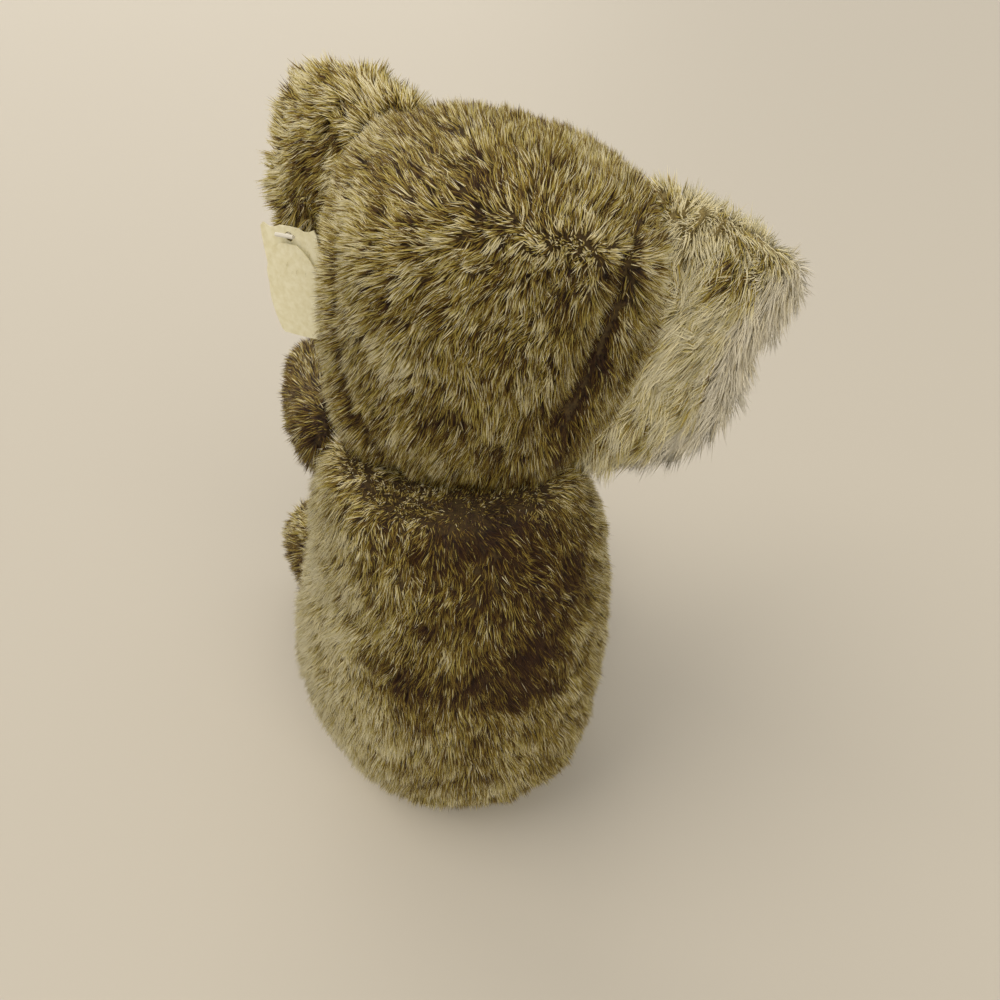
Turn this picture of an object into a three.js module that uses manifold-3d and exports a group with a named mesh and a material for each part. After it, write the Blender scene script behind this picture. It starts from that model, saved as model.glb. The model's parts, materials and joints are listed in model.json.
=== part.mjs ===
// Plush koala that sits with its head turned and tilted: sewn pile-fabric covers over loose filling, flat
// two-layer ears, a plastic nose and eyes held by washers, and a folded card tag pinned to one ear.
// Millimetres, +Z up. The origin is the middle of the seat's flat underside, and the body faces along -Y.
import * as THREE from "three";
import { mergeVertices, toCreasedNormals } from "three/addons/utils/BufferGeometryUtils.js";
import Module from "manifold-3d";

const wasm = await Module();
wasm.setup();

// Cloth, seams and clearances
const coverThickness = 4; // backing cloth with its pile pressed half flat
const seamGap = 0.3; // between two sewn edges, and between a cover and its filling
const jointClearance = 0.5; // between a limb and what it swings against
const restDepth = 0.5; // how far a soft underside is cut flat where it rests
const overrun = 30; // how far a cutter passes what it cuts
const shortestEdge = 0.03; // a cut leaves shorter ones, which are drawn together

const degrees = Math.PI / 180;
const sweepStep = 10; // degrees between the copies that stand for a swept form
const creaseAngle = 40 * degrees;
const xAxis = new THREE.Vector3(1, 0, 0);
const zAxis = new THREE.Vector3(0, 0, 1);

// Profile shares are [share of the half width, share of the height], from the bottom up.
const body = {
  width: 139,
  depth: 132,
  height: 183,
  profileShares: [
    [0, 0], [0.4, 0.002], [0.69, 0.024], [0.87, 0.09], [0.965, 0.21], [1, 0.36],
    [0.985, 0.53], [0.945, 0.68], [0.86, 0.81], [0.68, 0.9], [0.36, 0.97], [0, 1],
  ],
  sides: 20,
  rings: 10,
  neckDrop: 17, // of the neck seam below the form's top
  sideSeam: -14, // where the back panels meet the belly panel, along Y
  baseHeight: 10, // of the seat panel's edge above the table
};

const head = {
  width: 112,
  depth: 104,
  height: 117,
  profileShares: [
    [0, 0], [0.46, 0.015], [0.74, 0.1], [0.9, 0.25], [0.98, 0.43], [1, 0.6],
    [0.96, 0.77], [0.81, 0.9], [0.47, 0.975], [0, 1],
  ],
  sides: 18,
  rings: 10,
  neckSink: 2, // of the form's foot below the neck seam
  back: -5, // of the neck's middle from the body's, along Y
  turn: -28, // degrees, to the koala's own right
  tilt: -14, // degrees, left ear up
  turnRange: [-20, 20],
  faceSeam: -16, // where the back and side panels meet the face, along Y
  panelWidth: 84, // of the shield-shaped back panel at its top
  panelShoulder: 12, // how far above the head's middle that panel starts to taper
  panelTip: 6, // how far its point would pass the neck seam
};
// The back panel's tapering edge, as shares of its half width and of its drop from shoulder to neck.
const panelTaperShares = [[0.97, 0.22], [0.9, 0.42], [0.7, 0.57], [0.42, 0.76]];

const ear = {
  width: 67,
  height: 96,
  thickness: 6, // of one layer at its middle
  edgeShare: 0.35, // of that thickness at the edge
  rootInset: 14, // of the root seam inside the head's side
  forward: -3, // of the root seam from the head's middle, along Y
  lean: 14, // degrees that its top leans outwards
  cup: 7, // how far the outer edge curls forward
  points: 16,
  domeRings: 2,
  flapRange: [-22, 4], // degrees for the left ear, positive backwards
};
// The ear's outline, wide at the top: shares of its width outwards, and of its half height upwards.
const earOutlineShares = [
  [-0.3, 0.9], [0.1, 1], [0.5, 0.98], [0.82, 0.8], [0.99, 0.45], [0.98, 0.05], [0.84, -0.35],
  [0.62, -0.7], [0.35, -0.93], [0.05, -1], [-0.25, -0.85], [-0.35, 0],
];
const earForward = { left: 30, right: 12 }; // degrees that each ear stands forward of straight out
const earLift = { left: 12, right: 5 }; // of each ear's middle above the head's

const arm = {
  width: 34,
  depth: 36,
  length: 102,
  profileShares: [
    [0, 0], [0.55, 0.02], [0.86, 0.1], [1, 0.26], [0.96, 0.48], [0.86, 0.66],
    [0.9, 0.82], [0.72, 0.94], [0.36, 0.99], [0, 1],
  ],
  sides: 12,
  rings: 7,
  sideInset: 18.5, // of the shoulder's middle inside the body's side
  seamLead: 10, // and ahead of the side seam
  neckDrop: 7, // and below the neck seam
  backReach: 14, // how far the arm's rounded end lies behind the shoulder
  droop: 4, // degrees below level
  inward: 6, // degrees towards the other arm
  swingRange: [-25, 5], // degrees, positive raises the paw
};

const leg = {
  width: 52,
  depth: 62,
  length: 124,
  profileShares: [
    [0, 0], [0.5, 0.02], [0.8, 0.1], [0.88, 0.26], [0.8, 0.5], [0.84, 0.68],
    [1, 0.86], [0.92, 0.96], [0.55, 0.995], [0, 1],
  ],
  sides: 14,
  rings: 8,
  sideInset: 25.5, // of the hip's middle inside the body's side
  frontInset: 32, // and behind the body's front, at the height that lays the leg on the table
  backReach: 14,
  uptilt: 5, // degrees above level, towards the foot
  outward: 6, // degrees away from the other leg
  swingRange: [0, 15], // degrees, positive raises the foot
};
const sole = {
  setBack: 9, // of its plane behind the foot's end
  thickness: 4,
  edgeShare: 0.4, // of that thickness at the edge
  margin: 2.5, // inside the foot's outline
  points: 16,
  domeRings: 2,
};

const muzzle = {
  width: 58,
  depth: 46,
  height: 46,
  profileShares: [[0, 0], [0.6, 0.08], [0.92, 0.28], [1, 0.5], [0.92, 0.72], [0.6, 0.92], [0, 1]],
  sides: 12,
  rings: 6,
  frontInset: 16, // of its middle behind the head's front
  drop: 17, // of its middle below the head's middle
};

const button = {
  shankRadius: 2,
  shankTail: 3, // past the washer
  washerRadius: 6,
  washerThickness: 1.2,
  sides: 14,
  domeSteps: 3,
};
const eye = {
  width: 14,
  height: 14,
  domeHeight: 5.5,
  aside: 27, // from the face's middle
  above: 10, // the head's middle
  washerSink: 1.3, // into the filling, so that the flat washer clears the curved cover
};
const nose = {
  width: 22,
  height: 28,
  domeHeight: 8,
  above: -4,
  washerSink: 3.2,
};

const tag = {
  width: 26,
  height: 41,
  frontHeight: 35, // of the front leaf, which leaves the hole free
  cardThickness: 0.5,
  leafGap: 0.8, // between the folded leaves
  holeRadius: 1.8,
  holeDrop: 3.6, // of the hole's middle below the top edge
  turn: -44, // degrees that its face is turned from straight back
  earOut: 30, // where the pin passes the ear, out from the root seam
  earDrop: 9, // and below the ear's middle
  earStandOff: 14.5, // from the ear's middle plane to the tag
  outlinePoints: 14,
};
// Right halves of the leaves' outlines, from the top down: shares of the half width and of the height.
const backLeafShares = [
  [0.3, 1], [0.62, 0.97], [0.94, 1], [1, 0.84], [0.97, 0.6], [1, 0.34], [0.8, 0.04], [0.5, 0],
];
const frontLeafShares = [
  [0.3, 1], [0.72, 0.86], [0.96, 0.68], [0.95, 0.55], [1, 0.36], [0.8, 0.04], [0.5, 0],
];
const pin = {
  radius: 0.6,
  pastEar: 12.5, // behind the ear's middle plane
  head: 2.5, // in front of the tag
  barRadius: 0.8,
  barLength: 8,
  sides: 8,
};
const pinTail = tag.earStandOff + pin.pastEar; // behind the tag

const looks = {
  backPile: new THREE.MeshStandardMaterial({ color: "#7d6f4a", roughness: 1 }),
  palePile: new THREE.MeshStandardMaterial({ color: "#cfc6ac", roughness: 1 }),
  earLining: new THREE.MeshStandardMaterial({ color: "#e9e4d6", roughness: 1 }),
  seatCloth: new THREE.MeshStandardMaterial({ color: "#6b5d3f", roughness: 1 }),
  soleCloth: new THREE.MeshStandardMaterial({ color: "#9a8a68", roughness: 0.95 }),
  filling: new THREE.MeshStandardMaterial({ color: "#f4f2ec", roughness: 1 }),
  blackPlastic: new THREE.MeshStandardMaterial({ color: "#14110f", roughness: 0.15 }),
  washerPlastic: new THREE.MeshStandardMaterial({ color: "#d9d9d2", roughness: 0.5 }),
  card: new THREE.MeshStandardMaterial({ color: "#e8ddb8", roughness: 0.75 }),
  clearPlastic: new THREE.MeshStandardMaterial({ color: "#e6e6e2", roughness: 0.3 }),
};

// Geometry to solid and back
function welded(geometry) {
  const bare = geometry.clone();
  bare.deleteAttribute("normal");
  bare.deleteAttribute("uv");
  return mergeVertices(bare);
}

function solid(geometry) {
  const merged = welded(geometry);
  return new wasm.Manifold(
    new wasm.Mesh({
      numProp: 3,
      vertProperties: merged.attributes.position.array,
      triVerts: new Uint32Array(merged.index.array),
    }),
  );
}

function geometryOf(shape) {
  const { numProp, vertProperties, triVerts } = shape.getMesh();
  const geometry = new THREE.BufferGeometry();
  geometry.setAttribute("position", new THREE.BufferAttribute(vertProperties, numProp));
  return withoutSlivers(geometry.setIndex(new THREE.BufferAttribute(triVerts, 1)));
}

// Draws the two ends of each very short edge together, where the surface stays closed: the ends then share
// only the two points that their edge's triangles lead to.
function withoutSlivers(geometry) {
  const { position } = geometry.attributes;
  const pointAt = (i) => new THREE.Vector3().fromBufferAttribute(position, i);
  let faces = Array.from({ length: geometry.index.count / 3 }, (_, i) =>
    [0, 1, 2].map((corner) => geometry.index.getX(3 * i + corner)),
  );
  const ringOf = (point) => new Set(faces.filter((face) => face.includes(point)).flat());
  const canClose = (a, b) => {
    const ring = ringOf(b);
    return [...ringOf(a)].filter((point) => ring.has(point) && point !== a && point !== b).length === 2;
  };
  const isShort = ([a, b]) => a < b && pointAt(a).distanceTo(pointAt(b)) < shortestEdge && canClose(a, b);
  const shortEdge = () => faces.flatMap(([a, b, c]) => [[a, b], [b, c], [c, a]]).find(isShort);
  for (let edge = shortEdge(); edge; edge = shortEdge()) {
    const [kept, dropped] = edge;
    faces = faces
      .map((face) => face.map((point) => (point === dropped ? kept : point)))
      .filter((face) => new Set(face).size === 3);
  }
  return geometry.setIndex(faces.flat());
}

function node(name, shape, material) {
  const mesh = new THREE.Mesh(toCreasedNormals(geometryOf(shape), creaseAngle), material);
  mesh.name = name;
  return mesh;
}

// A closed form that stands on the origin, oval in plan, and swells and tapers by its profile.
function softForm({ width, depth, height, profileShares, sides, rings }) {
  const profile = new THREE.SplineCurve(profileShares.map(([out, rise]) => new THREE.Vector2(out, rise)));
  const points = profile.getPoints(rings).map((point) => new THREE.Vector2(Math.max(point.x, 0), point.y));
  return new THREE.LatheGeometry(points, sides).rotateX(Math.PI / 2).scale(width / 2, depth / 2, height);
}

// The same form with every point moved inwards along its normal, or outwards by a negative distance.
function inset(geometry, distance) {
  const grown = welded(geometry);
  grown.computeVertexNormals();
  const { position, normal } = grown.attributes;
  for (let i = 0; i < position.count; i++) {
    position.setXYZ(
      i,
      position.getX(i) - normal.getX(i) * distance,
      position.getY(i) - normal.getY(i) * distance,
      position.getZ(i) - normal.getZ(i) * distance,
    );
  }
  return grown;
}

// A block from one corner to the other, to cut or keep with.
function block(low, high) {
  const size = high.map((value, i) => value - low[i]);
  const middle = high.map((value, i) => (value + low[i]) / 2);
  return solid(new THREE.BoxGeometry(...size).translate(...middle));
}

// A rod along Z with its ends at the two heights.
function rod(radius, from, to, sides) {
  const geometry = new THREE.CylinderGeometry(radius, radius, to - from, sides);
  return solid(geometry.rotateX(Math.PI / 2).translate(0, 0, (from + to) / 2));
}

// The form as it turns about an axis through the origin, joined from copies a few degrees apart.
function swept(geometry, axis, [from, to]) {
  const steps = Math.max(1, Math.ceil((to - from) / sweepStep));
  const copies = Array.from({ length: steps + 1 }, (_, step) => {
    const turn = THREE.MathUtils.lerp(from, to, step / steps) * degrees;
    const matrix = new THREE.Matrix4().makeRotationAxis(axis, turn);
    return solid(geometry.clone().applyMatrix4(matrix));
  });
  return copies.reduce((whole, copy) => whole.add(copy));
}

function moved(shape, matrix) {
  return solid(geometryOf(shape).applyMatrix4(matrix));
}

// The largest piece of a solid, where a cut leaves crumbs.
function mainPiece(shape) {
  return shape.decompose().reduce((most, piece) => (piece.volume() > most.volume() ? piece : most));
}

// A panel with a flat or cupped back on the XZ plane and a domed front towards +Y or -Y.
function domedPanel(outline, { thickness, edgeShare, rings, cup, reach, facing, gap }) {
  const count = outline.length;
  const middle = outline.reduce((sum, point) => sum.add(point), new THREE.Vector2()).divideScalar(count);
  const vertices = [];
  const index = [];
  const addRing = (share, rise) => {
    for (const point of outline) {
      const at = middle.clone().lerp(point, share);
      const curl = -cup * (at.x / reach) ** 2;
      vertices.push(at.x, curl + facing * (gap + rise), at.y);
    }
  };
  addRing(0, 0);
  addRing(1, 0);
  for (let ring = 0; ring <= rings; ring++) {
    const angle = (ring / rings) * Math.PI / 2;
    addRing(Math.cos(angle), thickness * (edgeShare + (1 - edgeShare) * Math.sin(angle)));
  }
  for (let ring = 0; ring < rings + 2; ring++) {
    for (let i = 0; i < count; i++) {
      const a = ring * count + i;
      const b = ring * count + ((i + 1) % count);
      const [c, d] = [a + count, b + count];
      index.push(...(facing > 0 ? [a, b, c, b, d, c] : [a, c, b, b, c, d]));
    }
  }
  const geometry = new THREE.BufferGeometry();
  geometry.setAttribute("position", new THREE.Float32BufferAttribute(vertices, 3));
  geometry.setIndex(index);
  return geometry;
}

function ovalOutline(width, height, count) {
  return Array.from({ length: count }, (_, i) => {
    const angle = (-i / count) * 2 * Math.PI;
    return new THREE.Vector2((width / 2) * Math.cos(angle), (height / 2) * Math.sin(angle));
  });
}

// Where a ray from outside meets a form, with +Z of the returned frame along the surface's normal.
function seatOn(geometry, from, towards) {
  const origin = new THREE.Vector3(...from);
  const direction = new THREE.Vector3(...towards).sub(origin).normalize();
  const hit = new THREE.Raycaster(origin, direction).intersectObject(new THREE.Mesh(geometry))[0];
  const frame = new THREE.Object3D();
  frame.position.copy(hit.point);
  frame.quaternion.setFromUnitVectors(zAxis, hit.face.normal);
  frame.updateMatrix();
  return frame;
}

// Body: two back panels, a belly panel and a seat panel round one filling
const bodyForm = softForm(body).translate(0, 0, -restDepth);
const neckHeight = body.height - body.neckDrop;

function makeBody() {
  const cover = solid(bodyForm).subtract(solid(inset(bodyForm, coverThickness)));
  const filling = solid(inset(bodyForm, coverThickness + seamGap));
  const wide = body.width;
  const half = seamGap / 2;
  const top = neckHeight - half;
  const side = { front: body.sideSeam - half, back: body.sideSeam + half };
  const base = { under: body.baseHeight - half, over: body.baseHeight + half };
  const pieces = {
    seat_panel: [cover, [-wide, -wide, 0], [wide, wide, base.under], looks.seatCloth],
    belly_panel: [cover, [-wide, -wide, base.over], [wide, side.front, top], looks.palePile],
    back_panel_left: [cover, [half, side.back, base.over], [wide, wide, top], looks.backPile],
    back_panel_right: [cover, [-wide, side.back, base.over], [-half, wide, top], looks.backPile],
    body_filling: [filling, [-wide, -wide, 0], [wide, wide, top], looks.filling],
  };
  const group = new THREE.Group();
  for (const [name, [shape, low, high, material]] of Object.entries(pieces)) {
    group.add(node(name, shape.intersect(block(low, high)), material));
  }
  return group;
}

// Head: its own frame stands on the neck seam and carries the ears, the face and the tag
const headForm = softForm(head).translate(0, 0, -head.neckSink);
const headMiddle = head.height / 2 - head.neckSink;
const headFrame = new THREE.Group();
headFrame.position.set(0, head.back, neckHeight);
headFrame.rotation.set(0, head.tilt * degrees, head.turn * degrees);
headFrame.updateMatrix();

// What lies under the neck seam, in the head's frame.
const underNeck = moved(
  block([-head.height, -head.height, 0], [head.height, head.height, neckHeight + seamGap / 2]),
  headFrame.matrix.clone().invert(),
);

function shieldPrism(extra) {
  const half = head.panelWidth / 2;
  const shoulder = headMiddle + head.panelShoulder;
  const drop = shoulder + head.panelTip;
  const taper = panelTaperShares.map(([out, down]) => [half * out + extra, shoulder - drop * down]);
  const rightEdge = [[half + extra, head.height], [half + extra, shoulder], ...taper];
  const leftEdge = rightEdge.map(([x, z]) => [-x, z]).reverse();
  const outline = [...rightEdge, [0, shoulder - drop - extra], ...leftEdge];
  const shape = new THREE.Shape(outline.map(([x, z]) => new THREE.Vector2(x, z)));
  const prism = new THREE.ExtrudeGeometry(shape, { depth: head.depth, bevelEnabled: false });
  return solid(prism.rotateX(Math.PI / 2).translate(0, head.depth, 0));
}

const muzzleForward = head.depth / 2 - muzzle.frontInset;
const muzzleFoot = headMiddle - muzzle.drop - muzzle.height / 2;
const muzzleForm = softForm(muzzle).translate(0, -muzzleForward, muzzleFoot);

// A face button: a dome with a shank that ends past a washer inside the cover.
function buttonSolids({ width, height, domeHeight, washerSink }) {
  const washerTop = -coverThickness - washerSink;
  const washerFoot = washerTop - button.washerThickness;
  const tail = washerFoot - button.shankTail;
  const stretch = height / width;
  const dome = Array.from({ length: button.domeSteps }, (_, step) => {
    const angle = (step / button.domeSteps) * (Math.PI / 2);
    return new THREE.Vector2((width / 2) * Math.cos(angle), seamGap + domeHeight * Math.sin(angle));
  });
  const profile = [
    new THREE.Vector2(0, tail),
    new THREE.Vector2(button.shankRadius, tail),
    new THREE.Vector2(button.shankRadius, seamGap),
    ...dome,
    new THREE.Vector2(0, seamGap + domeHeight),
  ];
  const turned = new THREE.LatheGeometry(profile, button.sides).rotateX(Math.PI / 2).scale(1, stretch, 1);
  const holeRadius = button.shankRadius * stretch + seamGap;
  const hole = rod(holeRadius, tail - seamGap, overrun, button.sides);
  return {
    dome: solid(turned),
    washer: rod(button.washerRadius, washerFoot, washerTop, button.sides).subtract(hole),
    hole,
    pocket: rod(button.washerRadius + seamGap, tail - seamGap, 0, button.sides),
  };
}

function makeHead() {
  const keepAbove = (shape) => shape.subtract(underNeck);
  const cover = keepAbove(solid(headForm).subtract(solid(inset(headForm, coverThickness))));
  const wide = head.width;
  const high = 2 * head.height;
  const rear = block([-wide, head.faceSeam + seamGap / 2, -wide], [wide, wide, high]);
  const front = block([-wide, -wide, -wide], [wide, head.faceSeam - seamGap / 2, high]);
  const rearCover = cover.intersect(rear);
  const sides = rearCover.subtract(shieldPrism(seamGap));
  const leftHalf = block([0, -wide, -wide], [wide, wide, high]);

  // The muzzle is sewn into an opening of the face, and one filling swells both.
  const muzzleCover = solid(muzzleForm)
    .subtract(solid(inset(muzzleForm, coverThickness)))
    .subtract(solid(inset(headForm, coverThickness)));
  const muzzleOpening = solid(inset(muzzleForm, -seamGap));

  const eyeFrames = [1, -1].map((sign) => {
    const [across, height] = [sign * eye.aside, headMiddle + eye.above];
    return seatOn(headForm, [across, -head.depth, height], [across, 0, height]);
  });
  const noseHeight = headMiddle + nose.above;
  const noseFrame = seatOn(muzzleForm, [0, -head.depth, noseHeight], [0, 0, noseHeight]);
  const eyeButton = buttonSolids(eye);
  const noseButton = buttonSolids(nose);

  const noseHole = moved(noseButton.hole, noseFrame.matrix);
  const noseSeat = solid(inset(headForm, -seamGap)).subtract(noseHole);
  let face = cover.intersect(front).subtract(muzzleOpening).subtract(noseHole);
  let filling = keepAbove(
    solid(inset(headForm, coverThickness + seamGap)).add(solid(inset(muzzleForm, coverThickness + seamGap))),
  ).subtract(moved(noseButton.pocket, noseFrame.matrix));
  for (const { matrix } of eyeFrames) {
    face = face.subtract(moved(eyeButton.hole, matrix));
    filling = filling.subtract(moved(eyeButton.pocket, matrix));
  }

  headFrame.add(
    node("head_back_panel", mainPiece(rearCover.intersect(shieldPrism(0))), looks.backPile),
    node("head_side_panel_left", mainPiece(sides.intersect(leftHalf)), looks.backPile),
    node("head_side_panel_right", mainPiece(sides.subtract(leftHalf)), looks.backPile),
    node("face_panel", mainPiece(face), looks.backPile),
    node("head_filling", mainPiece(filling), looks.filling),
    node("muzzle_cover", mainPiece(muzzleCover.subtract(noseHole)), looks.palePile),
    node("nose", mainPiece(moved(noseButton.dome, noseFrame.matrix).subtract(noseSeat)), looks.blackPlastic),
    node("nose_washer", moved(noseButton.washer, noseFrame.matrix), looks.washerPlastic),
  );
  ["left", "right"].forEach((side, i) => {
    const { matrix } = eyeFrames[i];
    headFrame.add(node("eye_" + side, moved(eyeButton.dome, matrix), looks.blackPlastic));
    headFrame.add(node("eye_washer_" + side, moved(eyeButton.washer, matrix), looks.washerPlastic));
  });
  return headFrame;
}

// Ears: two flat layers each, sewn round their edge and let into the head's side
const earOutline = new THREE.SplineCurve(
  [...earOutlineShares, earOutlineShares[0]].map(([out, up]) => new THREE.Vector2(out, up)),
)
  .getSpacedPoints(ear.points)
  .slice(0, -1)
  .map((point) => new THREE.Vector2(point.x * ear.width, (point.y * ear.height) / 2))
  .map((point) => point.rotateAround(new THREE.Vector2(), -ear.lean * degrees));

function makeEarFrame(side) {
  const sign = side === "left" ? 1 : -1;
  const frame = new THREE.Group();
  frame.position.set(sign * (head.width / 2 - ear.rootInset), ear.forward, headMiddle + earLift[side]);
  frame.rotation.z = -sign * earForward[side] * degrees;
  headFrame.add(frame);
  return frame;
}

const earFrames = { left: makeEarFrame("left"), right: makeEarFrame("right") };
headFrame.updateMatrixWorld(true);

// The tag hangs upright behind the left ear, from a pin along this frame's Y axis.
const tagFrame = new THREE.Group();
tagFrame.position.set(tag.earOut, tag.earStandOff, -tag.earDrop).applyMatrix4(earFrames.left.matrixWorld);
tagFrame.rotation.z = tag.turn * degrees;
tagFrame.updateMatrixWorld(true);
const tagInEar = earFrames.left.matrixWorld.clone().invert().multiply(tagFrame.matrixWorld);

function pinRod(radius, from, to) {
  return moved(rod(radius, from, to, pin.sides), new THREE.Matrix4().makeRotationX(-Math.PI / 2));
}

function pinSolid() {
  const { barRadius, barLength, sides } = pin;
  const bar = new THREE.CylinderGeometry(barRadius, barRadius, barLength, sides).rotateZ(Math.PI / 2);
  return [-pinTail, pin.head].reduce(
    (whole, y) => whole.add(solid(bar.clone().translate(0, y, 0))),
    pinRod(pin.radius, -pinTail, pin.head),
  );
}

function makeEar(side) {
  const sign = side === "left" ? 1 : -1;
  const frame = earFrames[side];
  const [from, to] = side === "left" ? ear.flapRange : ear.flapRange.map((turn) => -turn).reverse();
  const grownHead = inset(headForm, -jointClearance).applyMatrix4(frame.matrix.clone().invert());
  const headPath = swept(grownHead, zAxis, [-to, -from]);
  const pinHole = moved(pinRod(pin.radius + seamGap, -pinTail - overrun, pin.head), tagInEar);
  const cut = side === "left" ? headPath.add(pinHole) : headPath;
  const outline = earOutline.map((point) => new THREE.Vector2(point.x * sign, point.y));
  if (sign < 0) outline.reverse();
  const layer = (facing) =>
    domedPanel(outline, {
      thickness: ear.thickness,
      edgeShare: ear.edgeShare,
      rings: ear.domeRings,
      cup: ear.cup,
      reach: ear.width,
      facing,
      gap: seamGap / 2,
    });
  const layers = { back: [1, looks.backPile], front: [-1, looks.earLining] };
  for (const [name, [facing, material]] of Object.entries(layers)) {
    frame.add(node("ear_" + side + "_" + name, mainPiece(solid(layer(facing)).subtract(cut)), material));
  }
}

// Arms and legs: tapering tubes whose roots follow the body through their whole swing
function limbFrame({ backReach }, pitch, yaw) {
  const frame = new THREE.Object3D();
  frame.rotation.set(Math.PI / 2 + pitch * degrees, 0, yaw * degrees, "ZYX");
  frame.updateMatrix();
  frame.matrix.multiply(new THREE.Matrix4().makeTranslation(0, 0, -backReach));
  return frame;
}

// All that the head passes as it turns on the neck, in the part's frame.
const onNeck = new THREE.Matrix4().makeTranslation(0, -head.back, 0).multiply(headFrame.matrix);
const turningHead = inset(headForm, -jointClearance).applyMatrix4(onNeck);
const neckPath = geometryOf(swept(turningHead, zAxis, head.turnRange)).translate(0, head.back, 0);

// The cover and filling of a limb in its swing's frame: a positive swing raises the far end.
function limbSolids(limb, leanMatrix, pivot) {
  const form = softForm({ ...limb, height: limb.length }).applyMatrix4(leanMatrix);
  const neighbours = [inset(bodyForm, -jointClearance), neckPath];
  const paths = neighbours.map((grown) =>
    swept(grown.clone().translate(...pivot.map((p) => -p)), xAxis, limb.swingRange),
  );
  const reach = 2 * limb.length;
  const table = block([-reach, -reach, -reach], [reach, reach, -pivot[2]]);
  const cut = (shape) => shape.subtract(paths[0]).subtract(paths[1]).subtract(table);
  return {
    cover: cut(solid(form).subtract(solid(inset(form, coverThickness)))),
    filling: cut(solid(inset(form, coverThickness + seamGap))),
    table,
  };
}

function makeArm(side) {
  const sign = side === "left" ? 1 : -1;
  const across = body.width / 2 - arm.sideInset;
  const pivot = [sign * across, body.sideSeam - arm.seamLead, neckHeight - arm.neckDrop];
  const lean = limbFrame(arm, arm.droop, -sign * arm.inward);
  const { cover, filling } = limbSolids(arm, lean.matrix, pivot);
  const frame = new THREE.Group();
  frame.position.set(...pivot);
  frame.add(
    node("arm_" + side, mainPiece(cover), looks.backPile),
    node("arm_" + side + "_filling", mainPiece(filling), looks.filling),
  );
  return frame;
}

function makeLeg(side) {
  const sign = side === "left" ? 1 : -1;
  const lean = limbFrame(leg, -leg.uptilt, sign * leg.outward);
  const leaning = softForm({ ...leg, height: leg.length }).applyMatrix4(lean.matrix);
  leaning.computeBoundingBox();
  const across = body.width / 2 - leg.sideInset;
  const hipHeight = -restDepth - leaning.boundingBox.min.z;
  const pivot = [sign * across, leg.frontInset - body.depth / 2, hipHeight];
  const { cover, filling, table } = limbSolids(leg, lean.matrix, pivot);
  const solePlane = leg.length - sole.setBack;
  const past = block([-leg.length, -leg.length, solePlane], [leg.length, leg.length, 2 * leg.length]);
  const beyond = moved(past, lean.matrix);
  const outline = ovalOutline(leg.width - 2 * sole.margin, leg.depth - 2 * sole.margin, sole.points);
  const panel = domedPanel(outline, {
    thickness: sole.thickness,
    edgeShare: sole.edgeShare,
    rings: sole.domeRings,
    cup: 0,
    reach: leg.width,
    facing: 1,
    gap: seamGap,
  });
  panel.rotateX(Math.PI / 2).translate(0, 0, solePlane);
  const frame = new THREE.Group();
  frame.position.set(...pivot);
  frame.add(
    node("leg_" + side, mainPiece(cover.subtract(beyond)), looks.backPile),
    node("leg_" + side + "_filling", mainPiece(filling.subtract(beyond)), looks.filling),
    node("sole_" + side, moved(solid(panel), lean.matrix).subtract(table), looks.soleCloth),
  );
  return frame;
}

// Card tag: two leaves that hang from a plastic pin through the left ear
function leafOutline(shares, height) {
  const right = shares.map(([out, up]) => new THREE.Vector2((out * tag.width) / 2, up * height));
  const left = right.map((point) => new THREE.Vector2(-point.x, point.y)).reverse();
  const curve = new THREE.SplineCurve([...right, ...left, right[0]]);
  return curve.getPoints(2 * tag.outlinePoints).slice(0, -1);
}

// A leaf that faces +Y with its bottom edge on the X axis and its back at the given depth.
function leaf(shares, height, depth, holeHeight) {
  const shape = new THREE.Shape(leafOutline(shares, height));
  if (holeHeight) {
    shape.holes.push(new THREE.Path().absarc(0, holeHeight, tag.holeRadius, 0, 2 * Math.PI));
  }
  const options = { depth: tag.cardThickness, bevelEnabled: false, curveSegments: pin.sides };
  const plate = new THREE.ExtrudeGeometry(shape, options).rotateX(Math.PI / 2);
  return plate.translate(0, depth + tag.cardThickness, 0);
}

function makeTag() {
  // The hole's upper edge rests on the pin.
  const holeHeight = tag.height - tag.holeDrop;
  const bottom = pin.radius + seamGap - tag.holeRadius - holeHeight;
  const frontDepth = tag.cardThickness + tag.leafGap;
  const back = leaf(backLeafShares, tag.height, 0, holeHeight).translate(0, 0, bottom);
  const front = leaf(frontLeafShares, tag.frontHeight, frontDepth).translate(0, 0, bottom);
  tagFrame.add(
    node("tag_back_leaf", solid(back), looks.card),
    node("tag_front_leaf", solid(front), looks.card),
    node("tag_pin", pinSolid(), looks.clearPlastic),
  );
  earFrames.left.attach(tagFrame);
}

const koala = new THREE.Group();
koala.add(makeBody(), makeHead());
for (const side of ["left", "right"]) {
  makeEar(side);
  koala.add(makeArm(side), makeLeg(side));
}
makeTag();

export default koala;
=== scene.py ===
# %% [markdown]
# # A plush koala, dressed in Blender
# The toy is a sewn skin of long acrylic pile over loose filling. Its solids are already made, in metres,
# with the table at z = 0, the seat at the origin and the belly towards -Y. This script settles the filling,
# grows the pile, finishes the buttons and the card tag, and sets up a camera and soft light, all in the
# solids' frame.

# %% Load the solids
import json
import math

import bpy
import numpy as np
from mathutils import Matrix, Vector, kdtree

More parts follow.
